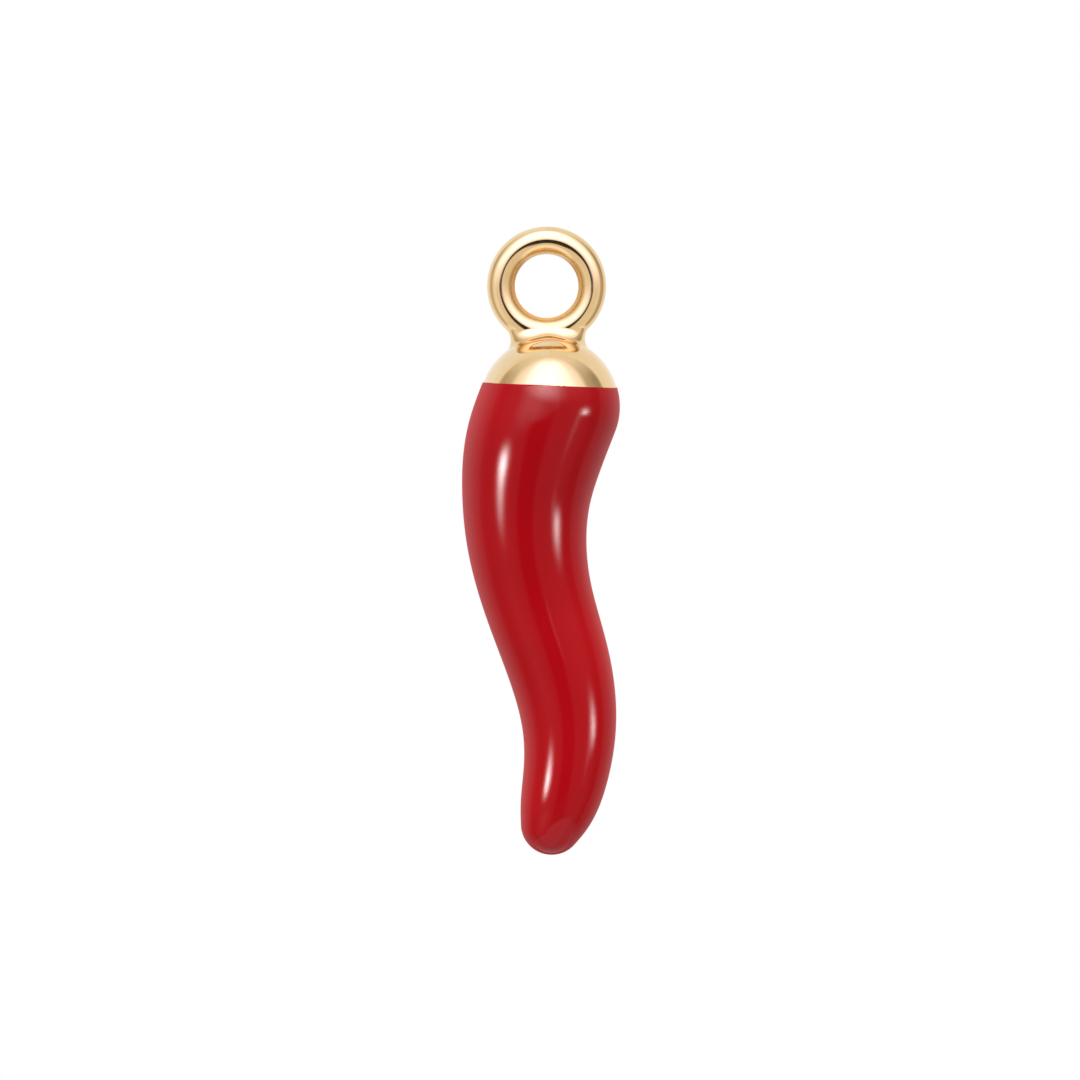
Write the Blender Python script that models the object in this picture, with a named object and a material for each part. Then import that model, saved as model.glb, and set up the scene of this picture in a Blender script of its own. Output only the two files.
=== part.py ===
"""Enamelled chili pepper charm: a gold plated casting with a bail ring and a red enamel coat.

Metres, +Z up, hanging as it is worn. The origin is the centre of the hole in the bail ring, the
ring lies in the XZ plane, and the pod sways in that plane. Heights are given as drops below the
origin.
"""

import math

import bmesh
import bpy
import numpy as np
from mathutils import Vector

MM = 0.001
NAME = "chili_pepper_charm"

# Bail ring, bent from round wire and closed.
HOLE_DIAMETER = 2.0 * MM
WIRE_DIAMETER = 0.9 * MM

# Dome and pod are what a ball sweeps as it rolls down a swaying centre line.
# Each station gives the ball centre's drop, its sideways sway and the ball's radius.
BALL_STATIONS_MM = (
    (3.83, 0.08, 2.24),
    (5.00, -0.34, 2.22),
    (6.50, -0.63, 2.06),
    (8.00, -0.64, 1.91),
    (10.00, -0.26, 1.75),
    (12.00, 0.37, 1.65),
    (14.00, 0.72, 1.49),
    (15.50, 0.61, 1.35),
    (16.60, 0.34, 1.17),
    (17.12, 0.16, 0.98),
)

# Foot of the bail ring: a fillet all round, from the wire to the dome. Its sections are ovals,
# wide along the ring and narrow across it. Their exponent is 2 for an ellipse and more for a
# fuller oval. The foot sinks into the dome between the end of its fillet and its bottom.
FOOT_FILLET_RADIUS = 0.40 * MM
FOOT_TOP_DROP = 1.50 * MM
FOOT_END_DROP = 1.98 * MM
FOOT_BOTTOM_DROP = 2.25 * MM
FOOT_BOTTOM_SHARE = 0.85
FOOT_EXPONENT = 2.4

# Enamel: it starts at a plane that falls a little to the right and to the front.
ENAMEL_THICKNESS = 0.30 * MM
ENAMEL_LINE_DROP = 3.17 * MM
ENAMEL_LINE_SWAY = 0.11 * MM
ENAMEL_FALL_RIGHT = math.radians(2.3)
ENAMEL_FALL_FRONT = math.radians(2.0)

# Joint play between the pieces: a fifteenth of the enamel's thickness.
PLAY = 0.02 * MM

# Side of the blocks that cut at the enamel plane, and half the span over which the centre line's
# direction is taken.
SLAB_SIZE = 30 * MM
TRAVEL_STEP = 0.01 * MM

# Fineness of the round faces.
RING_STEPS = 56
WIRE_STEPS = 18
POD_SIDES = 40
POD_RINGS = 30
DOME_RINGS = 9
TIP_RINGS = 6
FOOT_STEPS = 40
FOOT_RINGS = 7
SHARP_EDGE = math.radians(35)

GOLD_COLOUR = (0.84, 0.60, 0.33, 1.0)
GOLD_ROUGHNESS = 0.12
ENAMEL_COLOUR = (0.40, 0.004, 0.008, 1.0)
ENAMEL_ROUGHNESS = 0.08
ENAMEL_COAT = 0.8


def clear_scene():
    """Start from an empty scene."""
    for obj in list(bpy.data.objects):
        bpy.data.objects.remove(obj, do_unlink=True)


def new_collection(name):
    collection = bpy.data.collections.new(name)
    bpy.context.scene.collection.children.link(collection)
    return collection


def gold_plate():
    material = bpy.data.materials.new("gold_plate")
    material.use_nodes = True
    shader = material.node_tree.nodes["Principled BSDF"]
    shader.inputs["Base Color"].default_value = GOLD_COLOUR
    shader.inputs["Metallic"].default_value = 1.0
    shader.inputs["Roughness"].default_value = GOLD_ROUGHNESS
    material.diffuse_color = GOLD_COLOUR
    return material


def red_enamel():
    material = bpy.data.materials.new("red_enamel")
    material.use_nodes = True
    shader = material.node_tree.nodes["Principled BSDF"]
    shader.inputs["Base Color"].default_value = ENAMEL_COLOUR
    shader.inputs["Metallic"].default_value = 0.0
    shader.inputs["Roughness"].default_value = ENAMEL_ROUGHNESS
    shader.inputs["Coat Weight"].default_value = ENAMEL_COAT
    material.diffuse_color = ENAMEL_COLOUR
    return material


def place(mesh, name, collection, material=None):
    """Wrap a mesh in an object, shade it smooth and put it in its collection."""
    obj = bpy.data.objects.new(name, mesh)
    collection.objects.link(obj)
    mesh.shade_smooth()
    mesh.set_sharp_from_angle(angle=SHARP_EDGE)
    if material:
        mesh.materials.append(material)
    return obj


def as_helper(obj):
    """Keep a cutter or a joined shape out of the render."""
    obj.hide_render = True
    obj.display_type = "WIRE"
    return obj


def boolean(obj, other, operation):
    modifier = obj.modifiers.new(f"{operation.lower()}_{other.name}", "BOOLEAN")
    modifier.operation = operation
    modifier.solver = "EXACT"
    modifier.object = other


def smooth_through(knots, values):
    """Natural cubic curve through the values, as a function of the knots' variable."""
    gaps = np.diff(knots)
    count = len(knots)
    system = np.eye(count)
    right_side = np.zeros(count)
    for i in range(1, count - 1):
        system[i, i - 1 : i + 2] = gaps[i - 1], 2 * (gaps[i - 1] + gaps[i]), gaps[i]
        slopes = (values[i + 1] - values[i]) / gaps[i], (values[i] - values[i - 1]) / gaps[i - 1]
        right_side[i] = 6 * (slopes[0] - slopes[1])
    bends = np.linalg.solve(system, right_side)

    def value(at):
        i = int(np.clip(np.searchsorted(knots, at) - 1, 0, count - 2))
        gap = gaps[i]
        before = knots[i + 1] - at
        after = at - knots[i]
        curved = (bends[i] * before**3 + bends[i + 1] * after**3) / (6 * gap)
        start = (values[i] / gap - bends[i] * gap / 6) * before
        end = (values[i + 1] / gap - bends[i + 1] * gap / 6) * after
        return float(curved + start + end)

    return value


STATIONS = np.array(BALL_STATIONS_MM) * MM
ball_sway = smooth_through(STATIONS[:, 0], STATIONS[:, 1])
ball_radius = smooth_through(STATIONS[:, 0], STATIONS[:, 2])
FIRST_DROP = STATIONS[0, 0]
LAST_DROP = STATIONS[-1, 0]


def ball_at(drop):
    """Centre, radius, downward direction and contact angle of the ball at this drop.

    The ball touches the swept skin on one circle. Its angle is measured from the downward
    direction, and it is a right angle where the radius doesn't change.
    """
    low, high = drop - TRAVEL_STEP, drop + TRAVEL_STEP
    centre = Vector((ball_sway(drop), 0.0, -drop))
    travel = Vector((ball_sway(high) - ball_sway(low), 0.0, low - high))
    growth = (ball_radius(high) - ball_radius(low)) / travel.length
    return centre, ball_radius(drop), travel.normalized(), math.acos(-growth)


def body_rings():
    """(drop, angle) of each ring of the swept body: over the dome, down the pod, round the tip."""
    first_angle = ball_at(FIRST_DROP)[3]
    last_angle = ball_at(LAST_DROP)[3]
    dome = [(FIRST_DROP, math.pi + (first_angle - math.pi) * i / DOME_RINGS) for i in range(1, DOME_RINGS)]
    drops = np.linspace(FIRST_DROP, LAST_DROP, POD_RINGS)
    pod = [(drop, ball_at(drop)[3]) for drop in drops]
    tip = [(LAST_DROP, last_angle * (1 - i / TIP_RINGS)) for i in range(1, TIP_RINGS)]
    return dome + pod + tip


def swept_body(name, inset):
    """Closed skin of dome and pod, lying this far inside the outer surface."""
    mesh = bmesh.new()
    across = Vector((0.0, 1.0, 0.0))
    rings = []
    for drop, angle in body_rings():
        centre, radius, down, _ = ball_at(drop)
        sideways = across.cross(down)
        ring = []
        for i in range(POD_SIDES):
            turn = 2 * math.pi * i / POD_SIDES
            outward = math.cos(turn) * sideways + math.sin(turn) * across
            direction = math.cos(angle) * down + math.sin(angle) * outward
            ring.append(mesh.verts.new(centre + (radius - inset) * direction))
        rings.append(ring)
    for upper, lower in zip(rings, rings[1:]):
        for i in range(POD_SIDES):
            j = (i + 1) % POD_SIDES
            mesh.faces.new((upper[i], upper[j], lower[j], lower[i]))
    for drop, ring, side in ((FIRST_DROP, rings[0], -1), (LAST_DROP, rings[-1], 1)):
        centre, radius, down, _ = ball_at(drop)
        pole = mesh.verts.new(centre + side * (radius - inset) * down)
        for i in range(POD_SIDES):
            mesh.faces.new((ring[i], ring[(i + 1) % POD_SIDES], pole))
    bmesh.ops.recalc_face_normals(mesh, faces=mesh.faces)
    data = bpy.data.meshes.new(name)
    mesh.to_mesh(data)
    mesh.free()
    return data


def slab(name, drop, side, cutters):
    """Block whose one face is the enamel plane, moved to this drop: side 1 is above it, -1 below."""
    bpy.ops.mesh.primitive_cube_add(size=SLAB_SIZE)
    block = bpy.context.object
    block.name = name
    block.rotation_euler = (ENAMEL_FALL_FRONT, ENAMEL_FALL_RIGHT, 0.0)
    plane_up = block.rotation_euler.to_matrix() @ Vector((0.0, 0.0, 1.0))
    block.location = Vector((ENAMEL_LINE_SWAY, 0.0, -drop)) + side * SLAB_SIZE / 2 * plane_up
    move_to(block, cutters)
    return as_helper(block)


def move_to(obj, collection):
    for other in obj.users_collection:
        other.objects.unlink(obj)
    collection.objects.link(obj)


def wire_ring(name, growth):
    """The bail ring's round wire, thickened all round by this growth."""
    bpy.ops.mesh.primitive_torus_add(
        major_radius=(HOLE_DIAMETER + WIRE_DIAMETER) / 2,
        minor_radius=WIRE_DIAMETER / 2 + growth,
        major_segments=RING_STEPS,
        minor_segments=WIRE_STEPS,
        rotation=(math.pi / 2, 0.0, 0.0),
    )
    ring = bpy.context.object
    ring.name = name
    ring.data.name = name
    return ring


class FootFillet:
    """Arc in a plane through the foot's line, tangent to a circle of the ring and to the dome."""

    def __init__(self, circle_drop, circle_radius):
        ball_drop, _, ball = STATIONS[0]
        near, far = circle_radius + FOOT_FILLET_RADIUS, ball + FOOT_FILLET_RADIUS
        span = ball_drop - circle_drop
        below = (span**2 + near**2 - far**2) / (2 * span)
        self.drop = circle_drop + below
        self.out = math.sqrt(near**2 - below**2)
        self.end_drop = ball_drop - (ball_drop - self.drop) * ball / far

    def half_size(self, drop):
        """Distance from the foot's line to the arc, which stays the same below its end."""
        below = min(drop, self.end_drop) - self.drop
        return self.out - math.sqrt(FOOT_FILLET_RADIUS**2 - below**2)


def oval(half_width, half_depth, drop):
    """Points of one level section of the foot."""
    points = []
    for i in range(FOOT_STEPS):
        turn = 2 * math.pi * i / FOOT_STEPS
        across, deep = abs(math.cos(turn)) / half_width, abs(math.sin(turn)) / half_depth
        reach = (across**FOOT_EXPONENT + deep**FOOT_EXPONENT) ** (-1 / FOOT_EXPONENT)
        points.append((reach * math.cos(turn), reach * math.sin(turn), -drop))
    return points


def foot(name, collection):
    """Foot along the line from the ring's centre to the first ball's centre."""
    ring_radius = (HOLE_DIAMETER + WIRE_DIAMETER) / 2
    along_ring = FootFillet(0.0, ring_radius + WIRE_DIAMETER / 2)
    across_ring = FootFillet(ring_radius, WIRE_DIAMETER / 2)
    levels = []
    for drop in np.linspace(FOOT_TOP_DROP, FOOT_END_DROP, FOOT_RINGS):
        levels.append((along_ring.half_size(drop), across_ring.half_size(drop), drop))
    width, depth, _ = levels[-1]
    levels.append((FOOT_BOTTOM_SHARE * width, FOOT_BOTTOM_SHARE * depth, FOOT_BOTTOM_DROP))

    mesh = bmesh.new()
    rings = [[mesh.verts.new(point) for point in oval(*level)] for level in levels]
    for upper, lower in zip(rings, rings[1:]):
        bmesh.ops.bridge_loops(mesh, edges=loop_edges(mesh, upper) + loop_edges(mesh, lower))
    mesh.faces.new(rings[0])
    mesh.faces.new(rings[-1])
    bmesh.ops.recalc_face_normals(mesh, faces=mesh.faces)
    data = bpy.data.meshes.new(name)
    mesh.to_mesh(data)
    mesh.free()
    obj = place(data, name, collection)
    drop, sway, _ = STATIONS[0]
    obj.rotation_euler = (0.0, -math.atan2(sway, drop), 0.0)
    return obj


def loop_edges(mesh, ring):
    """Edges of a closed ring of points, made where they are missing."""
    edges = []
    for first, second in zip(ring, ring[1:] + ring[:1]):
        edges.append(mesh.edges.get((first, second)) or mesh.edges.new((first, second)))
    return edges


def build():
    clear_scene()
    parts = new_collection(NAME)
    cutters = new_collection(NAME + "_cutters")
    gold = gold_plate()
    enamel = red_enamel()

    bail_ring = wire_ring("bail_ring", 0.0)
    move_to(bail_ring, parts)
    bail_ring.data.shade_smooth()
    bail_ring.data.materials.append(gold)

    saddle = as_helper(wire_ring("saddle_cutter", PLAY))
    move_to(saddle, cutters)
    core = as_helper(place(swept_body("core", ENAMEL_THICKNESS + PLAY), "core", cutters))
    cavity = as_helper(place(swept_body("cavity_cutter", ENAMEL_THICKNESS), "cavity_cutter", cutters))
    ring_foot = as_helper(foot("foot", cutters))
    below = slab("below_cutter", ENAMEL_LINE_DROP, -1, cutters)
    above = slab("above_cutter", ENAMEL_LINE_DROP + PLAY, 1, cutters)

    cap = place(swept_body("cap_and_core", 0.0), "cap_and_core", parts, gold)
    boolean(cap, below, "DIFFERENCE")
    boolean(cap, core, "UNION")
    boolean(cap, ring_foot, "UNION")
    boolean(cap, saddle, "DIFFERENCE")

    coat = place(swept_body("enamel_coat", 0.0), "enamel_coat", parts, enamel)
    boolean(coat, above, "DIFFERENCE")
    boolean(coat, cavity, "DIFFERENCE")


build()
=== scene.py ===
"""Looks of a small hanging charm: a polished gold casting and a glossy red enamel pod.

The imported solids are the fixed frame. The gold casting and the enamel coat replace them with fine
skins of the same shape. Lengths inside the makers are millimetres, and every mesh is handed over in
metres.
"""

import logging
import math
from dataclasses import dataclass
from enum import Enum
from typing import Optional, Sequence, Union

import bmesh
import bpy
import numpy as np
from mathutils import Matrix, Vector


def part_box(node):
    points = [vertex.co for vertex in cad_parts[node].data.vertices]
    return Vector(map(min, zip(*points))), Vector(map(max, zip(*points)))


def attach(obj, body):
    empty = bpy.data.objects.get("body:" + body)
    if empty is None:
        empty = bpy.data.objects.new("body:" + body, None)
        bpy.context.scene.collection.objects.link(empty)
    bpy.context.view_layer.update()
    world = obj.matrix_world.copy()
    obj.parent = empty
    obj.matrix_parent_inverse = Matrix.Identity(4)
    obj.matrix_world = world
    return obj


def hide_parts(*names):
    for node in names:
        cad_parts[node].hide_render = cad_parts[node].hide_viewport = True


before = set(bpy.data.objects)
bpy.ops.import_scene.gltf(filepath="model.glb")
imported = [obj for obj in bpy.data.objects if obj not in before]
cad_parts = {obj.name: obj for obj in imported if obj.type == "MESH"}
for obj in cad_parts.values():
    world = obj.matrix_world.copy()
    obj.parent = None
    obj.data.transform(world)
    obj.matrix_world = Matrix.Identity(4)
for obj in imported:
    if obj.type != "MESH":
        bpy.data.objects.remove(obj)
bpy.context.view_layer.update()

MM = 0.001
TINY = 1e-9
SHARPEST_TURN = 0.98
BODY = "root"

log = logging.getLogger("charm")

Number = Union[float, np.ndarray]
Socket = bpy.types.NodeSocket
Feed = Union[float, Sequence[float], Socket]
Colour = tuple[float, float, float, float]
Shade = tuple[float, float, float]


class Slot(Enum):
    """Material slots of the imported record."""

    GOLD = "gold_plate"
    ENAMEL = "red_enamel"


class SolidNode(Enum):
    """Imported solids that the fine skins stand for."""

    RING = "bail_ring"
    CASTING = "cap_and_core"
    COAT = "enamel_coat"


class Operation(Enum):
    """Operations of the two math nodes, under the names that Blender gives them."""

    ADD = "ADD"
    SUBTRACT = "SUBTRACT"
    MULTIPLY = "MULTIPLY"
    DIVIDE = "DIVIDE"
    MAXIMUM = "MAXIMUM"
    MINIMUM = "MINIMUM"
    EXPONENT = "EXPONENT"
    ARCTAN2 = "ARCTAN2"
    ARCSINE = "ARCSINE"
    DEGREES = "DEGREES"
    LENGTH = "LENGTH"
    NORMALIZE = "NORMALIZE"
    SCALE = "SCALE"


def unit(vectors: np.ndarray) -> np.ndarray:
    """Vectors along the last axis, each made one long."""
    return vectors / np.linalg.norm(vectors, axis=-1, keepdims=True)


class SmoothCurve:
    """Natural cubic curve through values at given knots."""

    def __init__(self, knots: np.ndarray, values: np.ndarray) -> None:
        """Solve for the bend at each knot, which is nothing at both ends.

        Args:
            knots: places of the values, rising.
            values: what the curve passes through.
        """
        self.knots, self.values = knots, values
        gaps = np.diff(knots)
        slopes = np.diff(values) / gaps
        system, wanted = np.eye(len(knots)), np.zeros(len(knots))
        for i in range(1, len(knots) - 1):
            system[i, i - 1 : i + 2] = gaps[i - 1], 2 * (gaps[i - 1] + gaps[i]), gaps[i]
            wanted[i] = 6 * (slopes[i] - slopes[i - 1])
        self.bends = np.linalg.solve(system, wanted)

    def __call__(self, at: Number) -> np.ndarray:
        """Read the curve.

        Args:
            at: one place or many.

        Returns:
            The value at each place.
        """
        i = np.clip(np.searchsorted(self.knots, at) - 1, 0, len(self.knots) - 2)
        gap = self.knots[i + 1] - self.knots[i]
        before, after = self.knots[i + 1] - at, at - self.knots[i]
        curved = (self.bends[i] * before**3 + self.bends[i + 1] * after**3) / (6 * gap)
        start = (self.values[i] / gap - self.bends[i] * gap / 6) * before
        end = (self.values[i + 1] / gap - self.bends[i + 1] * gap / 6) * after
        return curved + start + end


@dataclass(frozen=True)
class BallStation:
    """Where the ball that sweeps the pod stands, in millimetres from the ring's centre."""

    drop: float
    sway: float
    radius: float


@dataclass
class SweptBody:
    """Dome and pod: the skin of a ball that rolls down a swaying centre line."""

    stations: tuple[BallStation, ...] = (
        BallStation(3.83, 0.08, 2.24),
        BallStation(5.00, -0.34, 2.22),
        BallStation(6.50, -0.63, 2.06),
        BallStation(8.00, -0.64, 1.91),
        BallStation(10.00, -0.26, 1.75),
        BallStation(12.00, 0.37, 1.65),
        BallStation(14.00, 0.72, 1.49),
        BallStation(15.50, 0.61, 1.35),
        BallStation(16.60, 0.34, 1.17),
        BallStation(17.12, 0.16, 0.98),
    )
    end: float = 3.0
    travel_step: float = 0.01

    def __post_init__(self) -> None:
        """Lay smooth curves through the stations."""
        drops = np.array([s.drop for s in self.stations])
        self.sway = SmoothCurve(drops, np.array([s.sway for s in self.stations]))
        self.radius = SmoothCurve(drops, np.array([s.radius for s in self.stations]))
        self.first, self.last = drops[0], drops[-1]

    def head_centre(self) -> np.ndarray:
        """Centre of the ball that the dome is part of."""
        return np.array([self.stations[0].sway, 0.0, -self.first])

    def touch(self, drop: Number) -> tuple[np.ndarray, np.ndarray]:
        """Find where the rolling ball touches the skin.

        Args:
            drop: how far the ball's centre is below the ring's.

        Returns:
            Downward direction of the centre line, and the angle from it at which the ball touches.
        """
        low, high = drop - self.travel_step, drop + self.travel_step
        sideways = self.sway(high) - self.sway(low)
        level = np.zeros_like(sideways)
        travel = np.stack([sideways, level, level - 2 * self.travel_step], axis=-1)
        growth = (self.radius(high) - self.radius(low)) / np.linalg.norm(travel, axis=-1)
        return unit(travel), np.arccos(-growth)

    def point(self, along: Number, turn: Number, inset: Number = 0.0) -> np.ndarray:
        """Points of the skin.

        Args:
            along: 0 at the top of the dome, 1 and 2 where the pod starts and ends, 3 at the tip.
            turn: angle round the centre line, 0 towards +X.
            inset: depth below the skin.

        Returns:
            Points in millimetres, with the coordinates along the last axis.
        """
        along, turn, inset = np.broadcast_arrays(along, turn, inset)
        drop = self.first + (self.last - self.first) * np.clip(along - 1, 0, 1)
        down, angle = self.touch(drop)
        over_dome = np.clip(1 - along, 0, 1)
        round_tip = np.clip(along - 2, 0, 1)
        angle = angle + (np.pi - angle) * over_dome - angle * round_tip
        across = np.array([0.0, 1.0, 0.0])
        side = np.cross(down, across)
        outward = np.cos(turn)[..., None] * side + np.sin(turn)[..., None] * across
        facing = np.cos(angle)[..., None] * down + np.sin(angle)[..., None] * outward
        centre = np.stack([self.sway(drop), 0 * drop, -drop], axis=-1)
        return centre + (self.radius(drop) - inset)[..., None] * facing


@dataclass(frozen=True)
class EnamelLine:
    """Plane where the gold ends and the enamel starts."""

    drop: float = 3.17
    sway: float = 0.11
    fall_right: float = 2.3
    fall_front: float = 2.0

    def centre(self) -> np.ndarray:
        """A point of the plane, near its middle."""
        return np.array([self.sway, 0.0, -self.drop])

    def up(self) -> np.ndarray:
        """The plane's upward normal.

        Returns:
            A vector one long.
        """
        right, front = math.radians(self.fall_right), math.radians(self.fall_front)
        return np.array(
            [math.sin(right) * math.cos(front), -math.sin(front), math.cos(right) * math.cos(front)]
        )

    def above(self, points: np.ndarray) -> np.ndarray:
        """How far above the plane each point is."""
        return (points - self.centre()) @ self.up()


@dataclass(frozen=True)
class Clouds:
    """Cloudy pattern of a finish: size of its lumps in millimetres, finer detail, and its contrast.

    The pattern counts as nothing at or below low, and as full at or above high.
    """

    size: float
    detail: float
    low: float
    high: float


class Wiring:
    """Adds nodes to one shader tree and links them."""

    # Sockets of a Mix node that mixes colours.
    MIX_FACTOR, MIX_FIRST, MIX_SECOND, MIX_RESULT = 0, 6, 7, 2

    def __init__(self, tree: bpy.types.NodeTree) -> None:
        """Empty the tree and take it over."""
        self.tree = tree
        tree.nodes.clear()

    def add(self, kind: str, feeds: Optional[dict[str, Feed]] = None, **settings: object) -> bpy.types.Node:
        """Add one node.

        Args:
            kind: the node's type, without the common start of its name.
            feeds: numbers, colours or sockets for its inputs, by name or by number.
            settings: its other properties.

        Returns:
            The new node.
        """
        node = self.tree.nodes.new("ShaderNode" + kind)
        for name, value in settings.items():
            setattr(node, name, value)
        for name, value in (feeds or {}).items():
            self.feed(node.inputs[int(name) if name.isdigit() else name], value)
        return node

    def feed(self, socket: Socket, value: Feed) -> None:
        """Link a socket to an input, or set the input to a value.

        Args:
            socket: the input.
            value: another node's output, a number or a colour.
        """
        if isinstance(value, bpy.types.NodeSocket):
            self.tree.links.new(value, socket)
        else:
            socket.default_value = value

    def math(self, operation: Operation, first: Feed, second: Feed = 0.0) -> Socket:
        """Result of a Math node."""
        return self.add("Math", {"0": first, "1": second}, operation=operation.value).outputs[0]

    def plus(self, first: Feed, second: Feed) -> Socket:
        """Sum of two numbers."""
        return self.math(Operation.ADD, first, second)

    def minus(self, first: Feed, second: Feed) -> Socket:
        """First number less the second."""
        return self.math(Operation.SUBTRACT, first, second)

    def times(self, first: Feed, second: Feed) -> Socket:
        """Product of two numbers."""
        return self.math(Operation.MULTIPLY, first, second)

    def vector(self, operation: Operation, first: Feed, second: Feed) -> bpy.types.Node:
        """A Vector Math node."""
        return self.add("VectorMath", {"0": first, "1": second}, operation=operation.value)

    def range(self, value: Feed, low: float, high: float, start: float, stop: float) -> Socket:
        """Value smoothly carried over from low..high to start..stop."""
        feeds = {"Value": value, "From Min": low, "From Max": high, "To Min": start, "To Max": stop}
        return self.add("MapRange", feeds, interpolation_type="SMOOTHSTEP").outputs[0]

    def noise(self, size: float, detail: float) -> Socket:
        """Cloudy pattern that keeps its place on the piece.

        Args:
            size: size of its lumps in millimetres.
            detail: how many finer patterns lie on top.

        Returns:
            A number between 0 and 1.
        """
        place = self.add("TexCoord").outputs["Object"]
        feeds = {"Vector": place, "Scale": 1 / (size * MM), "Detail": detail}
        return self.add("TexNoise", feeds).outputs["Fac"]

    def clouds(self, pattern: Clouds, start: float, stop: float) -> Socket:
        """Cloudy number that goes from start to stop."""
        return self.range(self.noise(pattern.size, pattern.detail), pattern.low, pattern.high, start, stop)

    def mix(self, factor: Feed, first: Feed, second: Feed) -> Socket:
        """Mix two colours.

        Args:
            factor: share of the second colour.
            first: a colour or the output of a node.
            second: the same for the other.

        Returns:
            The mixed colour.
        """
        node = self.add("Mix", data_type="RGBA")
        self.feed(node.inputs[self.MIX_FACTOR], factor)
        self.feed(node.inputs[self.MIX_FIRST], first)
        self.feed(node.inputs[self.MIX_SECOND], second)
        return node.outputs[self.MIX_RESULT]

    def surface(self, shader: bpy.types.Node, output: str = "OutputMaterial") -> None:
        """Make this shader the tree's result."""
        self.feed(self.add(output).inputs["Surface"], shader.outputs[0])


@dataclass(frozen=True)
class PolishedGold:
    """Gold plate, polished by hand: soft waves, faint polishing marks and a few duller spots.

    Inside the ring the gold is rougher and has painted shade: a deeper colour, darkest and least metallic
    at the hole's edge, and weaker at the ring's top.
    """

    deep: Colour = (0.78, 0.545, 0.275, 1.0)
    pale: Colour = (0.82, 0.58, 0.31, 1.0)
    # Painted shade inside the ring's hole: its colours, extra roughness, the radii it fades over, the metal
    # look lost at the hole's edge, and the share kept at the top.
    hole_shade: Colour = (0.66, 0.42, 0.17, 1.0)
    hole_edge_shade: Colour = (0.64, 0.35, 0.12, 1.0)
    bright_roughness: float = 0.045
    dull_roughness: float = 0.10
    inner_roughness: float = 0.26
    inner_start: float = 1.40
    inner_end: float = 1.08
    edge_start: float = 1.15
    edge_end: float = 1.06
    edge_shade_loss: float = 0.92
    top_start: float = 0.55
    top_end: float = 1.0
    top_share: float = 0.35
    patches: Clouds = Clouds(0.9, 3.0, 0.35, 0.65)
    smears: Clouds = Clouds(0.25, 4.0, 0.3, 0.75)
    wave_size: float = 0.45
    wave_detail: float = 1.0
    wave_depth: float = 0.0009
    mark_size: float = 0.03
    mark_detail: float = 3.0
    mark_depth: float = 0.00003

    def hole_shade_masks(self, w: Wiring) -> tuple[Socket, Socket]:
        """Find where shade is painted inside the ring.

        Args:
            w: wiring of the material.

        Returns:
            How far a point is inside the ring, and how near the hole's edge, both from 0 to 1.
        """
        place = w.add("TexCoord").outputs["Object"]
        flat = w.vector(Operation.MULTIPLY, place, (1.0, 0.0, 1.0)).outputs[0]
        away = w.vector(Operation.LENGTH, flat, (0.0, 0.0, 0.0)).outputs["Value"]
        height = w.add("SeparateXYZ", {"0": place}).outputs[2]
        kept = w.range(height, self.top_start * MM, self.top_end * MM, 1.0, self.top_share)
        inside = w.times(kept, w.range(away, self.inner_end * MM, self.inner_start * MM, 1.0, 0.0))
        edge = w.times(kept, w.range(away, self.edge_end * MM, self.edge_start * MM, 1.0, 0.0))
        return inside, edge

    def relief(self, w: Wiring) -> Socket:
        """Lay the polishing marks over the slow waves.

        Args:
            w: wiring of the material.

        Returns:
            The surface's direction.
        """
        wave_feeds = {"Height": w.noise(self.wave_size, self.wave_detail), "Distance": self.wave_depth * MM}
        waves = w.add("Bump", wave_feeds)
        mark_feeds = {
            "Height": w.noise(self.mark_size, self.mark_detail),
            "Distance": self.mark_depth * MM,
            "Normal": waves.outputs[0],
        }
        return w.add("Bump", mark_feeds).outputs[0]

    def build(self) -> bpy.types.Material:
        """Make the material.

        Returns:
            The finish.
        """
        material = bpy.data.materials.new("polished_gold")
        material.use_nodes = True
        w = Wiring(material.node_tree)
        inside, edge = self.hole_shade_masks(w)
        patches = w.clouds(self.patches, 0.0, 1.0)
        shader = w.add("BsdfPrincipled", {"Specular IOR Level": 0.0})
        outside = w.mix(patches, self.deep, self.pale)
        # Painted shade: the inside of the ring is given a deeper colour, darkest and least metallic at the
        # hole's edge.
        inner = w.mix(edge, self.hole_shade, self.hole_edge_shade)
        w.feed(shader.inputs["Base Color"], w.mix(inside, outside, inner))
        w.feed(shader.inputs["Metallic"], w.minus(1.0, w.times(edge, self.edge_shade_loss)))
        roughness = w.clouds(self.smears, self.bright_roughness, self.dull_roughness)
        rougher = w.times(inside, self.inner_roughness)
        w.feed(shader.inputs["Roughness"], w.plus(roughness, rougher))
        w.feed(shader.inputs["Normal"], self.relief(w))
        w.surface(shader)
        return material


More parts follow.
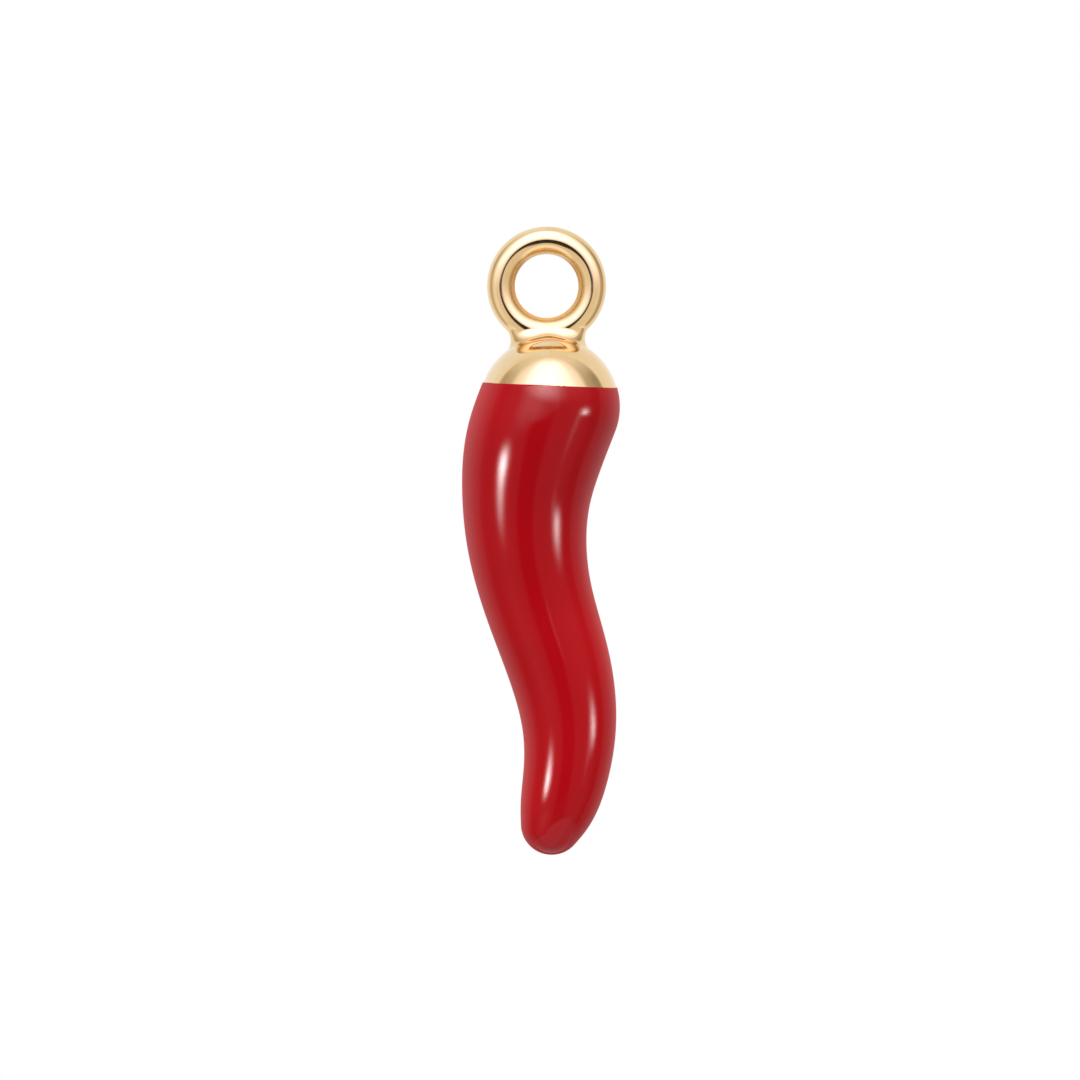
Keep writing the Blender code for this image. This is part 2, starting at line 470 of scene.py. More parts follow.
@dataclass(frozen=True)
class GlossyEnamel:
    """Opaque red enamel, fired smooth, with slow waves and slight changes of depth in its red; its lower
    part has painted light, a brighter red.
    """

    deep: Colour = (0.345, 0.0022, 0.0052, 1.0)
    bright: Colour = (0.365, 0.0027, 0.0062, 1.0)
    # Painted light: brighter reds for the pod's lower part, faded in between these depths below the ring.
    lit_low_deep: Colour = (0.395, 0.0024, 0.0055, 1.0)
    lit_low_bright: Colour = (0.425, 0.0029, 0.0066, 1.0)
    fade_start: float = 5.5
    fade_end: float = 11.0
    refraction: float = 1.5
    specular: float = 0.10
    low_roughness: float = 0.03
    high_roughness: float = 0.06
    depths: Clouds = Clouds(2.5, 2.0, 0.3, 0.7)
    smears: Clouds = Clouds(0.6, 3.0, 0.3, 0.7)
    wave_size: float = 1.6
    wave_detail: float = 1.0
    wave_depth: float = 0.0012

    def build(self) -> bpy.types.Material:
        """Make the material.

        Returns:
            The finish.
        """
        material = bpy.data.materials.new("glossy_enamel")
        material.use_nodes = True
        w = Wiring(material.node_tree)
        depths = w.clouds(self.depths, 0.0, 1.0)
        gloss = {"Metallic": 0.0, "IOR": self.refraction, "Specular IOR Level": self.specular}
        shader = w.add("BsdfPrincipled", gloss)
        height = w.add("SeparateXYZ", {"0": w.add("TexCoord").outputs["Object"]}).outputs[2]
        # Painted light: the red grows brighter towards the pod's lower part.
        low = w.range(height, -self.fade_end * MM, -self.fade_start * MM, 1.0, 0.0)
        upper = w.mix(depths, self.deep, self.bright)
        lower = w.mix(depths, self.lit_low_deep, self.lit_low_bright)
        w.feed(shader.inputs["Base Color"], w.mix(low, upper, lower))
        w.feed(shader.inputs["Roughness"], w.clouds(self.smears, self.low_roughness, self.high_roughness))
        wave_feeds = {"Height": w.noise(self.wave_size, self.wave_detail), "Distance": self.wave_depth * MM}
        waves = w.add("Bump", wave_feeds)
        w.feed(shader.inputs["Normal"], waves.outputs[0])
        w.surface(shader)
        return material


@dataclass(frozen=True)
class WhitePaper:
    """Matt white paper of the floor."""

    colour: Colour = (0.92, 0.92, 0.92, 1.0)
    grain_colour: Colour = (0.88, 0.88, 0.88, 1.0)
    grain: Clouds = Clouds(2.0, 4.0, 0.3, 0.7)
    least_grain: float = 0.97
    roughness: float = 0.9

    def build(self) -> bpy.types.Material:
        """Make the material.

        Returns:
            The finish.
        """
        material = bpy.data.materials.new("white_paper")
        material.use_nodes = True
        w = Wiring(material.node_tree)
        grain = w.clouds(self.grain, self.least_grain, 1.0)
        shader = w.add("BsdfPrincipled", {"Roughness": self.roughness, "Specular IOR Level": 0.0})
        w.feed(shader.inputs["Base Color"], w.mix(grain, self.grain_colour, self.colour))
        w.surface(shader)
        return material


def mesh_object(name: str, points: np.ndarray, faces: Sequence[Sequence[int]]) -> bpy.types.Object:
    """Object from points in millimetres.

    Args:
        name: name of the object and its mesh.
        points: one row for each vertex.
        faces: vertex numbers of each face, turning outwards.

    Returns:
        The new object, smooth shaded and linked to the scene.
    """
    mesh = bpy.data.meshes.new(name)
    mesh.from_pydata((points * MM).tolist(), [], faces)
    mesh.validate()
    mesh.shade_smooth()
    made = bpy.data.objects.new(name, mesh)
    bpy.context.scene.collection.objects.link(made)
    return made


def hand_over(
    piece: bpy.types.Object, slot: Slot, material: bpy.types.Material, nodes: Sequence[SolidNode]
) -> None:
    """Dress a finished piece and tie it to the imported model.

    Args:
        piece: the piece.
        slot: the record's slot that its finish belongs to.
        material: its finish.
        nodes: the solids that it stands for.
    """
    piece.data.materials.append(material)
    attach(piece, BODY)
    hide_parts(*[node.value for node in nodes])
    log.info("%s: %d points, %s", piece.name, len(piece.data.vertices), slot.value)


def tube_faces(rings: int, sides: int) -> list[tuple[int, int, int, int]]:
    """Four-sided faces between rings of points, numbered ring by ring.

    Args:
        rings: how many rings there are.
        sides: how many points each ring has.

    Returns:
        The point numbers of each face.
    """
    faces = []
    for ring in range(rings - 1):
        for i in range(sides):
            j = (i + 1) % sides
            here, there = ring * sides, (ring + 1) * sides
            faces.append((here + i, here + j, there + j, there + i))
    return faces


@dataclass(frozen=True)
class Skin:
    """Distances to a shape and the directions away from it, at many points."""

    distance: np.ndarray
    facing: np.ndarray


def filleted(first: Skin, second: Skin, radius: float) -> np.ndarray:
    """Distance to two joined shapes, with a fillet as if a ball had rolled along the corner.

    Args:
        first: distances and outward directions of one shape.
        second: the same for the other.
        radius: the ball's radius.

    Returns:
        Distances to the joined and filleted shape.
    """
    turn = np.clip(np.sum(first.facing * second.facing, axis=1), -SHARPEST_TURN, SHARPEST_TURN)
    a, b = first.distance - radius, second.distance - radius
    in_corner = (a < b * turn) & (b < a * turn)
    from_ball = np.sqrt(np.maximum(a * a + b * b - 2 * a * b * turn, 0) / (1 - turn * turn))
    return np.where(in_corner, radius - from_ball, np.minimum(first.distance, second.distance))


def round_cut(first: np.ndarray, second: np.ndarray, radius: float) -> np.ndarray:
    """Distance to what two shapes have in common, with its edge rounded by this radius."""
    spread = np.hypot(np.maximum(radius + first, 0), np.maximum(radius + second, 0))
    return np.minimum(-radius, np.maximum(first, second)) + spread


@dataclass
class GoldCasting:
    """Bail ring, filleted foot and domed cap, soldered and polished into one flowing form."""

    body: SweptBody
    line: EnamelLine
    fillet: float = 0.40
    lip_rounding: float = 0.008
    plug_share: float = 0.75
    dome_segments: int = 96
    dome_rings: int = 64
    plug_rounds: int = 3
    wire_steps: int = 96
    wire_sides: int = 32
    cell: float = 0.032
    probe_step: float = 0.002
    settle_rounds: int = 3
    settle_steps: int = 4
    smoothing: float = 0.5

    def __post_init__(self) -> None:
        """Read the ring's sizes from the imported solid."""
        low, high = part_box(SolidNode.RING.value)
        self.wire_radius = (high.y - low.y) / 2 / MM
        self.ring_radius = (high.x - low.x) / 2 / MM - self.wire_radius

    def ring(self, points: np.ndarray) -> Skin:
        """The bail ring's round wire.

        Args:
            points: places in millimetres, one in a row.

        Returns:
            Distance and outward direction at each place.
        """
        away = np.hypot(points[:, 0], points[:, 2])
        from_wire = away - self.ring_radius
        reach = np.hypot(from_wire, points[:, 1])
        out = points / away[:, None] * [1, 0, 1]
        across = np.array([0.0, 1.0, 0.0])
        facing = from_wire[:, None] * out + points[:, 1:2] * across
        return Skin(reach - self.wire_radius, facing / np.maximum(reach, TINY)[:, None])

    def dome(self, points: np.ndarray) -> Skin:
        """The ball that the dome is part of."""
        offset = points - self.body.head_centre()
        return Skin(np.linalg.norm(offset, axis=1) - self.body.stations[0].radius, unit(offset))

    def distance(self, points: np.ndarray) -> np.ndarray:
        """Distance to the whole casting above the enamel line, in millimetres."""
        whole = filleted(self.ring(points), self.dome(points), self.fillet)
        return round_cut(whole, -self.line.above(points), self.lip_rounding)

    def facing(self, points: np.ndarray) -> np.ndarray:
        """Outward direction of the skin at each point.

        Args:
            points: places in millimetres, one in a row.

        Returns:
            Directions one long.
        """
        slopes = []
        for step in self.probe_step * np.eye(3):
            slopes.append(self.distance(points + step) - self.distance(points - step))
        return unit(np.stack(slopes, axis=1))

    def rough_form(self) -> bpy.types.Mesh:
        """Ring, foot and cut ball as closed shapes that only overlap.

        Returns:
            Their mesh, in millimetres.
        """
        bm = bmesh.new()
        radius = self.body.stations[0].radius
        bmesh.ops.create_uvsphere(
            bm, u_segments=self.dome_segments, v_segments=self.dome_rings, radius=radius
        )
        bmesh.ops.translate(bm, verts=bm.verts, vec=Vector(self.body.head_centre()))
        cut = bmesh.ops.bisect_plane(
            bm,
            geom=bm.verts[:] + bm.edges[:] + bm.faces[:],
            plane_co=Vector(self.line.centre()),
            plane_no=Vector(self.line.up()),
            clear_inner=True,
        )
        rim = [e for e in cut["geom_cut"] if isinstance(e, bmesh.types.BMEdge)]
        bmesh.ops.holes_fill(bm, edges=rim, sides=0)
        plug_drop = self.ring_radius * self.plug_share + self.wire_radius
        for side in (-1, 0, 1):
            plug = bmesh.ops.create_icosphere(bm, subdivisions=self.plug_rounds, radius=self.wire_radius)
            spot = Vector((side * self.wire_radius, 0.0, -plug_drop))
            bmesh.ops.translate(bm, verts=plug["verts"], vec=spot)
        self.add_wire(bm)
        mesh = bpy.data.meshes.new("rough_casting")
        bm.to_mesh(mesh)
        bm.free()
        return mesh

    def add_wire(self, bm: bmesh.types.BMesh) -> None:
        """Add the ring's wire to a rough form.

        Args:
            bm: the rough form.
        """
        rings = []
        for i in range(self.wire_steps):
            turn = 2 * math.pi * i / self.wire_steps
            out = Vector((math.cos(turn), 0.0, math.sin(turn)))
            ring = []
            for k in range(self.wire_sides):
                lean = 2 * math.pi * k / self.wire_sides
                offset = out * math.cos(lean) + Vector((0.0, math.sin(lean), 0.0))
                ring.append(bm.verts.new(out * self.ring_radius + offset * self.wire_radius))
            rings.append(ring)
        for i in range(self.wire_steps):
            near, far = rings[i], rings[(i + 1) % self.wire_steps]
            for k in range(self.wire_sides):
                after = (k + 1) % self.wire_sides
                bm.faces.new((near[k], near[after], far[after], far[k]))

    def fine_skin(self) -> bpy.types.Mesh:
        """Rough form rebuilt from even cells, then laid on the exact form.

        Returns:
            Its mesh, in millimetres.
        """
        rough = bpy.data.objects.new("rough_casting", self.rough_form())
        bpy.context.scene.collection.objects.link(rough)
        remesh = rough.modifiers.new("even_cells", "REMESH")
        remesh.mode = "VOXEL"
        remesh.voxel_size = self.cell
        graph = bpy.context.evaluated_depsgraph_get()
        mesh = bpy.data.meshes.new_from_object(rough.evaluated_get(graph))
        bpy.data.objects.remove(rough, do_unlink=True)
        bm = bmesh.new()
        bm.from_mesh(mesh)
        for _ in range(self.settle_rounds):
            bmesh.ops.smooth_vert(
                bm, verts=bm.verts, factor=self.smoothing, use_axis_x=True, use_axis_y=True, use_axis_z=True
            )
            self.settle(bm)
        bm.to_mesh(mesh)
        bm.free()
        return mesh

    def settle(self, bm: bmesh.types.BMesh) -> None:
        """Move every point of a mesh onto the exact form.

        Args:
            bm: the mesh, in millimetres.
        """
        points = np.array([v.co for v in bm.verts])
        for _ in range(self.settle_steps):
            points = points - self.distance(points)[:, None] * self.facing(points)
        for vertex, point in zip(bm.verts, points):
            vertex.co = point

    def build(self, material: bpy.types.Material) -> bpy.types.Object:
        """Make the casting's visible part.

        Args:
            material: its finish.

        Returns:
            The piece.
        """
        mesh = self.fine_skin()
        points = np.array([v.co for v in mesh.vertices])
        facing = self.facing(points)
        mesh.name = "gold_casting"
        for vertex, point in zip(mesh.vertices, points * MM):
            vertex.co = point
        mesh.shade_smooth()
        mesh.normals_split_custom_set_from_vertices(facing.tolist())
        piece = bpy.data.objects.new("gold_casting", mesh)
        bpy.context.scene.collection.objects.link(piece)
        hand_over(piece, Slot.GOLD, material, (SolidNode.RING, SolidNode.CASTING))
        return piece


@dataclass
class CastingCore:
    """Metal core inside the pod, rising into the dome."""

    body: SweptBody
    inset: float = 0.32
    top: float = 0.45
    sides: int = 64
    rings: int = 60

    def build(self, material: bpy.types.Material) -> bpy.types.Object:
        """Make the core.

        Args:
            material: its finish.

        Returns:
            The piece.
        """
        turns = np.arange(self.sides) * 2 * math.pi / self.sides
        along = np.linspace(self.top, self.body.end, self.rings + 1)[:-1]
        grid = self.body.point(along[:, None], turns[None, :], self.inset)
        tip = self.body.point(np.array([self.body.end]), np.array([0.0]), self.inset)
        points = np.concatenate([grid.reshape(-1, 3), tip])
        faces = [tuple(face) for face in tube_faces(self.rings, self.sides)]
        last = (self.rings - 1) * self.sides
        tip_number = len(points) - 1
        faces += [(last + i, last + (i + 1) % self.sides, tip_number) for i in range(self.sides)]
        faces.append(tuple(range(self.sides - 1, -1, -1)))
        piece = mesh_object("casting_core", points, faces)
        hand_over(piece, Slot.GOLD, material, (SolidNode.CASTING,))
        return piece


@dataclass(frozen=True)
class HandWave:
    """One of the waves that a hand leaves in a line drawn round the charm."""

    times: int
    phase: float
    share: float


@dataclass
class EnamelCoat:
    """Red coat over the core, open at the top, its edge drawn up to the gold by hand."""

    body: SweptBody
    line: EnamelLine
    thickness: float = 0.30
    seam: float = -0.024
    edge_rounding: float = 0.008
    swell: float = 0.015
    swell_depth: float = 0.9
    swell_reach: float = 1.5
    waver: float = 0.006
    waves: tuple[HandWave, ...] = (HandWave(3, 0.7, 1.0), HandWave(7, 2.1, 0.7), HandWave(13, 0.0, 0.5))
    edge_search: tuple[float, float] = (0.5, 1.5)
    edge_steps: int = 800
    sides: int = 192
    rings: int = 230
    edge_rings: int = 8
    inner_rings: int = 40
    line_steps: int = 3000

    def edge_places(self, turns: np.ndarray) -> np.ndarray:
        """Find where each line down the coat starts, at the enamel line.

        Args:
            turns: angles of the lines round the centre line.

        Returns:
            Their places along the skin.
        """
        along = np.linspace(*self.edge_search, self.edge_steps)
        height = self.line.above(self.body.point(along[:, None], turns[None, :]))
        hand = sum(wave.share * np.sin(wave.times * turns + wave.phase) for wave in self.waves)
        wanted = -self.seam + self.waver * hand
        first_below = np.argmax(height < wanted, axis=0)
        columns = np.arange(len(turns))
        high, low = height[first_below - 1, columns], height[first_below, columns]
        share = (high - wanted) / (high - low)
        return along[first_below - 1] + share * (along[1] - along[0])

    def ring_places(self, edge: float, turn: float) -> tuple[np.ndarray, np.ndarray]:
        """Places of the rings along one line down the coat.

        Args:
            edge: where the line starts.
            turn: its angle round the centre line.

        Returns:
            Places of the outer rings, close together at the rounded edge, and of the inner ones.
        """
        along = np.linspace(edge, self.body.end, self.line_steps)
        line = self.body.point(along, np.full(self.line_steps, turn))
        run = np.concatenate([[0], np.cumsum(np.linalg.norm(np.diff(line, axis=0), axis=1))])
        close = self.edge_rounding * (1 - np.cos(np.linspace(0, math.pi / 2, self.edge_rings)))
        even = np.linspace(2 * self.edge_rounding, run[-1], self.rings + 1)[:-1]
        inner = np.linspace(0, run[-1], self.inner_rings + 1)[:-1]
        return np.interp(np.concatenate([close, even]), run, along), np.interp(inner, run, along)

    def rise(self, depth: np.ndarray) -> np.ndarray:
        """How far the coat stands proud of the swept skin.

        Args:
            depth: depths below the coat's edge.

        Returns:
            The rise at each depth.
        """
        swelling = self.swell * np.exp(-(((depth - self.swell_depth) / self.swell_reach) ** 2))
        left = np.clip(self.edge_rounding - depth, 0, self.edge_rounding)
        rounded = self.edge_rounding - np.sqrt(self.edge_rounding**2 - left**2)
        return swelling - rounded

    def build(self, material: bpy.types.Material) -> bpy.types.Object:
        """Make the coat as one closed shell.

        Args:
            material: its finish.

        Returns:
            The piece.
        """
        turns = np.arange(self.sides) * 2 * math.pi / self.sides
        edge = self.edge_places(turns)
        places = [self.ring_places(start, turn) for start, turn in zip(edge, turns)]
        along = np.stack([outer for outer, _ in places], axis=1)
        plain = self.body.point(along, turns[None, :])
        depth = np.clip(-self.line.above(plain) - self.seam, 0, None)
        depth = depth - depth[0]
        outer = self.body.point(along, turns[None, :], -self.rise(np.clip(depth, 0, None)))
        inner_along = np.stack([inner for _, inner in places], axis=1)
        inner = self.body.point(inner_along, turns[None, :], self.thickness)
        rings = np.concatenate([outer[::-1], inner])
        tips = np.array([self.body.end, self.body.end])
        poles = self.body.point(tips, np.zeros(2), np.array([0.0, self.thickness]))
        points = np.concatenate([rings.reshape(-1, 3), poles])
        faces = [tuple(face[::-1]) for face in tube_faces(len(rings), self.sides)]
        last, pole = (len(rings) - 1) * self.sides, len(points) - 2
        for i in range(self.sides):
            j = (i + 1) % self.sides
            faces.append((i, j, pole))
            faces.append((last + j, last + i, pole + 1))
        piece = mesh_object("enamel_pod", points, faces)
        hand_over(piece, Slot.ENAMEL, material, (SolidNode.COAT,))
        return piece


@dataclass(frozen=True)
class Patch:
    """Patch of directions round the charm, in degrees, with a soft edge on each side.

    An edge is where the patch is half as strong, and it fades over the softness to both sides.
    The slant is how much the patch falls to the right, in degrees for each degree.
    """

    left: float
    right: float
    low: float = -91.0
    high: float = 91.0
    left_soft: float = 4.0
    right_soft: float = 4.0
    low_soft: float = 1.0
    high_soft: float = 1.0
    slant: float = 0.0


@dataclass(frozen=True)
class Card:
    """Card in front of the tent's wall, and its shade."""

    patch: Patch
    shade: Shade


@dataclass(frozen=True)
class SoftBox:
    """Broad diffused lamp, and how much light it adds."""

    patch: Patch
    strength: Shade


@dataclass(frozen=True)
class Glow:
    """Small diffused lamp: where it is, how far its glow reaches and how bright its middle is.

    The tilt is how much the glow rises to the right, in degrees for each degree.
    """

    azimuth: float
    elevation: float
    wide: float
    above: float
    below: float
    strength: float
    tilt: float = 0.0


@dataclass(frozen=True)
class Surroundings:
    """What a polished surface mirrors: a pale tent with cards, soft boxes and lamps."""

    wall: Shade
    cards: tuple[Card, ...]
    boxes: tuple[SoftBox, ...]
    glows: tuple[Glow, ...] = ()

    def cover(self, w: Wiring, patch: Patch, azimuth: Socket, elevation: Socket) -> Socket:
        """How much a patch covers of a direction.

        Args:
            w: wiring of the light.
            patch: the patch.
            azimuth: degrees to the right of the way to the camera.
            elevation: degrees above the horizon.

        Returns:
            1 in the middle of the patch and 0 outside it.
        """
        left = w.range(azimuth, patch.left - patch.left_soft, patch.left + patch.left_soft, 0.0, 1.0)
        right = w.range(azimuth, patch.right - patch.right_soft, patch.right + patch.right_soft, 1.0, 0.0)
        if patch.slant:
            elevation = w.plus(elevation, w.times(azimuth, patch.slant))
        low = w.range(elevation, patch.low - patch.low_soft, patch.low + patch.low_soft, 0.0, 1.0)
        high = w.range(elevation, patch.high - patch.high_soft, patch.high + patch.high_soft, 1.0, 0.0)
        return w.times(w.times(left, right), w.times(low, high))

    def shine(self, w: Wiring, glow: Glow, azimuth: Socket, elevation: Socket) -> Socket:
        """How brightly a small lamp shines from a direction.

        Args:
            w: wiring of the light.
            glow: the lamp.
            azimuth: degrees to the right of the way to the camera.
            elevation: degrees above the horizon.

        Returns:
            The lamp's full strength in its middle, fading evenly away from it.
        """
        offset = w.minus(azimuth, glow.azimuth)
        aside = w.math(Operation.DIVIDE, offset, glow.wide)
        level = w.plus(w.times(offset, glow.tilt), glow.elevation)
        higher = w.minus(elevation, level)
        above = w.math(Operation.DIVIDE, w.math(Operation.MAXIMUM, higher, 0.0), glow.above)
        below = w.math(Operation.DIVIDE, w.math(Operation.MINIMUM, higher, 0.0), glow.below)
        upright = w.plus(above, below)
        square = w.plus(w.times(aside, aside), w.times(upright, upright))
        fading = w.math(Operation.EXPONENT, w.times(square, -0.5))
        return w.times(fading, glow.strength)

    def seen(self, w: Wiring, looking: Socket) -> Socket:
        """Light of the surroundings.

        Args:
            w: wiring of the light.
            looking: the direction looked at.

        Returns:
            The colour and strength of the light that comes from there.
        """
        x, y, z = w.add("SeparateXYZ", {"0": looking}).outputs
        azimuth = w.math(Operation.DEGREES, w.math(Operation.ARCTAN2, x, w.times(y, -1.0)))
        elevation = w.math(Operation.DEGREES, w.math(Operation.ARCSINE, z))
        total: Feed = (*self.wall, 1.0)
        for card in self.cards:
            total = w.mix(self.cover(w, card.patch, azimuth, elevation), total, (*card.shade, 1.0))
        for box in self.boxes:
            lit = w.vector(Operation.SCALE, box.strength, (0.0, 0.0, 0.0))
            w.feed(lit.inputs["Scale"], self.cover(w, box.patch, azimuth, elevation))
            total = w.vector(Operation.ADD, total, lit.outputs[0]).outputs[0]
        for glow in self.glows:
            total = w.vector(Operation.ADD, total, self.shine(w, glow, azimuth, elevation)).outputs[0]
        return total


def seen_by_gold() -> Surroundings:
    """Tent as the gold mirrors it: dark stands at both sides and one broad light overhead.

    Returns:
        The tent, with the black hood of the lens last.
    """
    return Surroundings(
        wall=(1.03, 1.06, 1.08),
        cards=(
            # A cooler wall at the left rear, and a warmer one in front with two paler strips.
            Card(Patch(-181, -118, -91, 91, 1, 12, 1, 1), (1.05, 1.13, 1.28)),
            Card(Patch(-62, 60, left_soft=10, right_soft=8), (0.94, 0.915, 0.865)),
            Card(Patch(-60, -41, -30, 30, 5, 5, 8, 8), (1.05, 1.08, 1.07)),
            Card(Patch(43, 57, -30, 30, 4, 4, 8, 8), (0.97, 0.97, 0.96)),
            # Dark stands at the left and at the right, each darker at the top.
            Card(Patch(-103, -72, -45, 54, 5, 7, 5, 24), (0.68, 0.63, 0.57)),
            Card(Patch(-101, -86, 18, 40, 5, 9, 12, 9), (0.56, 0.52, 0.47)),
            Card(Patch(69, 107, -45, 54, 7, 5, 5, 24), (0.57, 0.52, 0.47)),
            Card(Patch(88, 105, 14, 39, 10, 4, 12, 9), (0.43, 0.40, 0.36)),
            # White table, brightest in front.
            Card(Patch(-180, 180, -91, -44, 1, 1, 1, 3.5), (1.08, 1.10, 1.12)),
            Card(Patch(-58, 58, -91, -41, 14, 14, 1, 3.5), (1.26, 1.32, 1.42)),
            # Black hood of the lens.
            Card(Patch(-14, 10, -25, -6, 4, 4, 4, 4), (0.05, 0.05, 0.05)),
            Card(Patch(-12.5, 8.5, -10, 4.6, 2.5, 2.5, 4, 1.8), (0.02, 0.02, 0.02)),
        ),
        boxes=(SoftBox(Patch(-49, 50, 13.5, 79, 27, 31, 16.5, 13), (1.25, 1.30, 2.35)),),
    )


def seen_by_enamel() -> Surroundings:
    """Tent as the enamel mirrors it: it fades to the rear and has small lamps at both sides.

    Returns:
        The tent, with a dark panel in front and a bright table below.
    """
    return Surroundings(
        wall=(0.72, 0.25, 0.25),
        cards=(
            # White wall that fades to the rear, with two paler strips in front.
            Card(Patch(-144, 144, left_soft=28, right_soft=28), (1.08, 1.08, 1.08)),
            Card(Patch(-95, 95, left_soft=9, right_soft=9), (0.92, 0.91, 0.89)),
            Card(Patch(-57, -28, -38, 10, 8, 5, 4, 8), (1.12, 1.12, 1.12)),
            Card(Patch(34, 60, -38, 10, 8, 8, 4, 8), (1.08, 1.08, 1.08)),
            # Dim stands at the left and at the right, with bright feet.
            Card(Patch(-91, -70, -46, 50, 6, 8, 5, 10), (0.05, 0.60, 0.56)),
            Card(Patch(-112, -84, -44, -27.5, 5, 2.5, 3, 1.5), (1.0, 1.0, 1.0)),
            Card(Patch(72, 92, -46, 50, 8, 2.5, 5, 10), (0.0, 0.48, 0.45)),
            Card(Patch(86, 112, -44, -26, 2, 5, 3, 1.5), (0.92, 0.92, 0.92)),
            # Black panel round the lens, with a bright one over it and a grey foot.
            Card(Patch(-17, 13.5, -41, 91, 5.5, 5.5, 4, 1), (0.10, 0.10, 0.10)),
            Card(Patch(-19, 17, 1.0, 91, 2.5, 2.5, 0.9, 1, slant=0.27), (2.1, 2.1, 2.1)),
            Card(Patch(-17, 13.5, -41, -24, 5.5, 5.5, 4, 14), (0.45, 0.45, 0.45)),
            # White table, brightest in front.
            Card(Patch(-180, 180, -91, -45, 1, 1, 1, 3.5), (1.6, 1.6, 1.6)),
            Card(Patch(-58, 52, -91, -39.5, 14, 14, 1, 3), (2.25, 2.25, 2.25)),
        ),
        boxes=(
            SoftBox(Patch(-31, 13.5, 15.0, 91, 22, 23, 14.5, 1, slant=0.06), (23.0, 23.0, 23.0)),
            SoftBox(Patch(-42, 54, 17, 91, 40, 40, 15, 1), (2.6, 2.6, 2.6)),
        ),
        glows=(
            Glow(-48.2, -2.9, 4.8, 3.3, 3.3, 124.0, tilt=-0.10),
            Glow(61.0, -8.5, 5.0, 3.8, 2.6, 50.0, tilt=0.12),
            Glow(51.0, -14.6, 3.0, 2.6, 2.6, 3.0),
            Glow(-44.0, -25.5, 7.0, 4.0, 4.0, 1.2),
            Glow(-108.0, 12.0, 16.0, 30.0, 30.0, 0.45),
        ),
    )


@dataclass
class LightDome:
    """Large unseen dome of light that one finish mirrors and the other pieces don't."""

    name: str
    surroundings: Surroundings
    radius: float
    drop: float = 9.0
    segments: int = 64
    rings: int = 32

    def light(self) -> bpy.types.Material:
        """Light of the surroundings, which lets the rest of the studio show through it.

        Returns:
            The dome's material.
        """
        material = bpy.data.materials.new(self.name)
        material.use_nodes = True
        material.cycles.emission_sampling = "NONE"
        w = Wiring(material.node_tree)
        place = w.add("TexCoord").outputs["Object"]
        looking = w.vector(Operation.NORMALIZE, place, (0.0, 0.0, 0.0)).outputs[0]
        shining = w.add("Emission", {"Color": self.surroundings.seen(w, looking), "Strength": 1.0})
        clear = w.add("BsdfTransparent")
        w.surface(w.add("AddShader", {"0": shining.outputs[0], "1": clear.outputs[0]}))
        return material

    def build(self, lit: Sequence[bpy.types.Object]) -> None:
        """Put the dome round the charm.

        Args:
            lit: the pieces that mirror it.
        """
        receivers = bpy.data.collections.new("lit_by_" + self.name)
        for piece in lit:
            receivers.objects.link(piece)
        bm = bmesh.new()
        bmesh.ops.create_uvsphere(
            bm, u_segments=self.segments, v_segments=self.rings, radius=self.radius * MM
        )
        mesh = bpy.data.meshes.new(self.name)
        bm.to_mesh(mesh)
        bm.free()
        mesh.materials.append(self.light())
        dome = bpy.data.objects.new(self.name, mesh)
        dome.location = (0.0, 0.0, -self.drop * MM)
        dome.visible_camera = False
        dome.visible_diffuse = False
        dome.visible_shadow = False
        dome.visible_transmission = False
        dome.visible_volume_scatter = False
        bpy.context.scene.collection.objects.link(dome)
        dome.light_linking.receiver_collection = receivers
        log.info("%s lights %s", self.name, ", ".join(piece.name for piece in lit))


@dataclass
class Daylight:
    """Even light on matt surfaces, and the plain white backdrop."""

    even_light: float = 1.0
    from_left: float = 0.12
    from_above: float = 0.95
    side_loss: float = 0.10
    above_and_below: float = 0.42
    backdrop: Colour = (1.0, 1.0, 1.0, 1.0)

    def soft(self, w: Wiring, looking: Socket) -> Socket:
        """More light from the left, above and below than from the sides.

        Args:
            w: wiring of the world.
            looking: the direction looked at.

        Returns:
            The strength of the light that comes from there.
        """
        x, _, z = w.add("SeparateXYZ", {"0": looking}).outputs
        level = w.plus(w.times(x, -self.from_left), self.even_light)
        level = w.plus(level, w.times(z, self.from_above))
        level = w.plus(level, w.times(w.times(x, x), -self.side_loss))
        return w.plus(level, w.times(w.times(z, z), self.above_and_below))

    def build(self) -> None:
        """Make the world, which polished surfaces don't mirror."""
        world = bpy.data.worlds.new("daylight")
        world.use_nodes = True
        bpy.context.scene.world = world
        world.cycles.sampling_method = "NONE"
        w = Wiring(world.node_tree)
        looking = w.add("TexCoord").outputs["Generated"]
        rays = w.add("LightPath")
        seen = w.mix(rays.outputs["Is Glossy Ray"], self.soft(w, looking), (0.0, 0.0, 0.0, 1.0))
        seen = w.mix(rays.outputs["Is Camera Ray"], seen, self.backdrop)
        w.surface(w.add("Background", {"Color": seen, "Strength": 1.0}), "OutputWorld")
        log.info("daylight of strength %.2f", self.even_light)


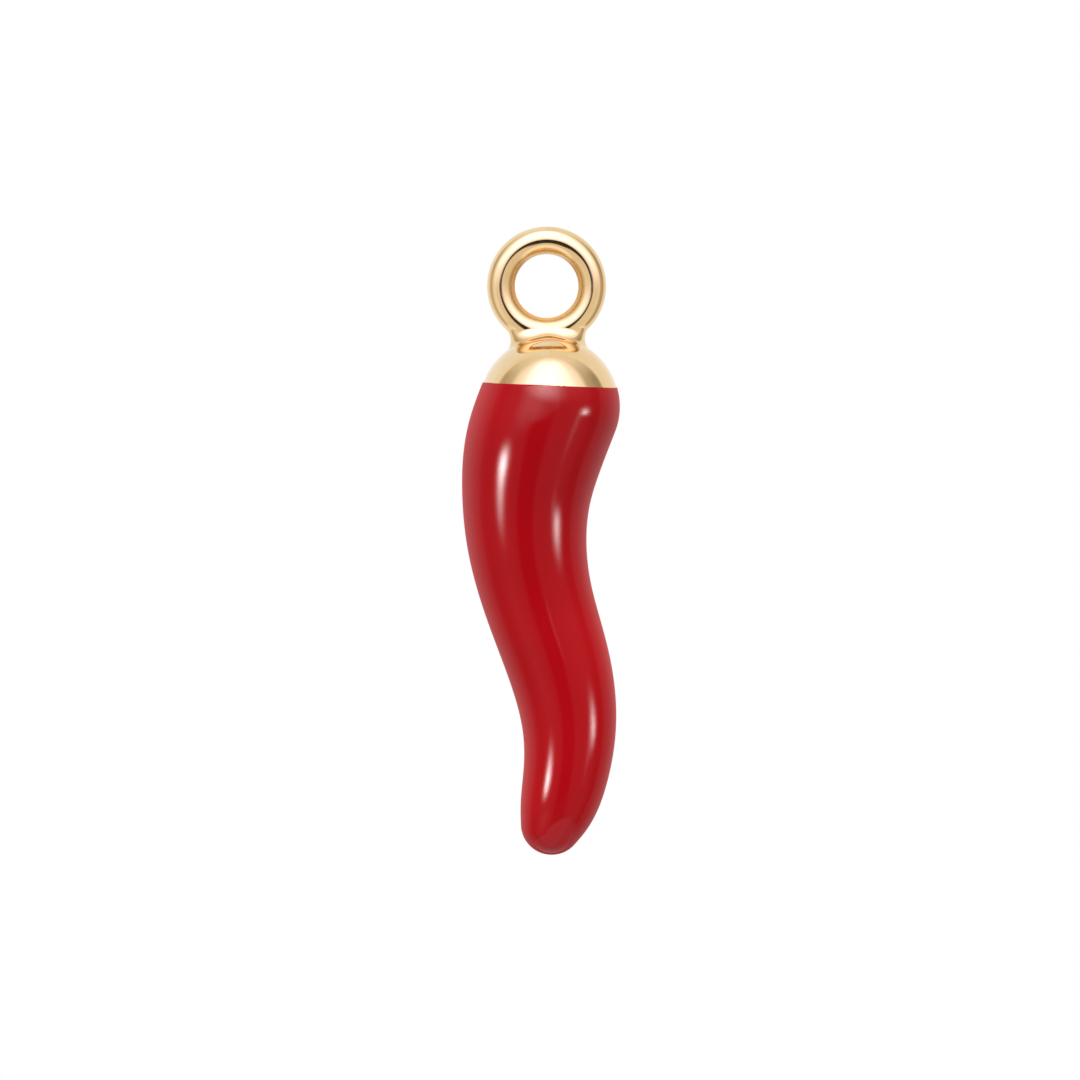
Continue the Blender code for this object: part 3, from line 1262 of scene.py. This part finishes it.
@dataclass
class Floor:
    """Round pale floor well below the charm."""

    drop: float = 118.0
    radius: float = 122.0
    steps: int = 128

    def build(self, material: bpy.types.Material) -> bpy.types.Object:
        """Make the floor.

        Args:
            material: its finish.

        Returns:
            The floor.
        """
        turns = np.arange(self.steps) * 2 * math.pi / self.steps
        flat = np.full(self.steps, -self.drop)
        points = np.stack([self.radius * np.cos(turns), self.radius * np.sin(turns), flat], axis=1)
        floor = mesh_object("floor", points, [tuple(range(self.steps))])
        floor.data.materials.append(material)
        floor.visible_glossy = False
        floor.visible_diffuse = False
        log.info("floor at %.0f mm below the ring", self.drop)
        return floor


@dataclass
class PhotoCamera:
    """Long lens level with the middle of the charm."""

    sway: float = -0.21
    drop: float = 8.08
    frame_width: float = 34.37
    lens: float = 200.0
    sensor: float = 36.0
    nearest: float = 0.01
    farthest: float = 10.0

    def build(self) -> bpy.types.Object:
        """Make the camera and use it.

        Returns:
            The camera.
        """
        data = bpy.data.cameras.new("camera")
        data.lens = self.lens
        data.sensor_width = self.sensor
        data.clip_start = self.nearest
        data.clip_end = self.farthest
        camera = bpy.data.objects.new("camera", data)
        distance = self.frame_width * self.lens / self.sensor
        camera.location = Vector((self.sway, -distance, -self.drop)) * MM
        camera.rotation_euler = (math.pi / 2, 0.0, 0.0)
        bpy.context.scene.collection.objects.link(camera)
        bpy.context.scene.camera = camera
        log.info("camera at %.0f mm", distance)
        return camera


def main() -> None:
    """Build the charm, its studio and the camera."""
    logging.basicConfig(level=logging.INFO, format="%(name)s: %(message)s")
    bpy.context.scene.view_settings.view_transform = "Standard"
    body, line = SweptBody(), EnamelLine()
    gold, enamel = PolishedGold().build(), GlossyEnamel().build()
    PhotoCamera().build()
    Daylight().build()
    Floor().build(WhitePaper().build())
    casting = GoldCasting(body, line).build(gold)
    core = CastingCore(body).build(gold)
    pod = EnamelCoat(body, line).build(enamel)
    LightDome("gold_light", seen_by_gold(), radius=1000.0).build([casting, core])
    LightDome("enamel_light", seen_by_enamel(), radius=1100.0).build([pod])


if __name__ == "__main__":
    main()
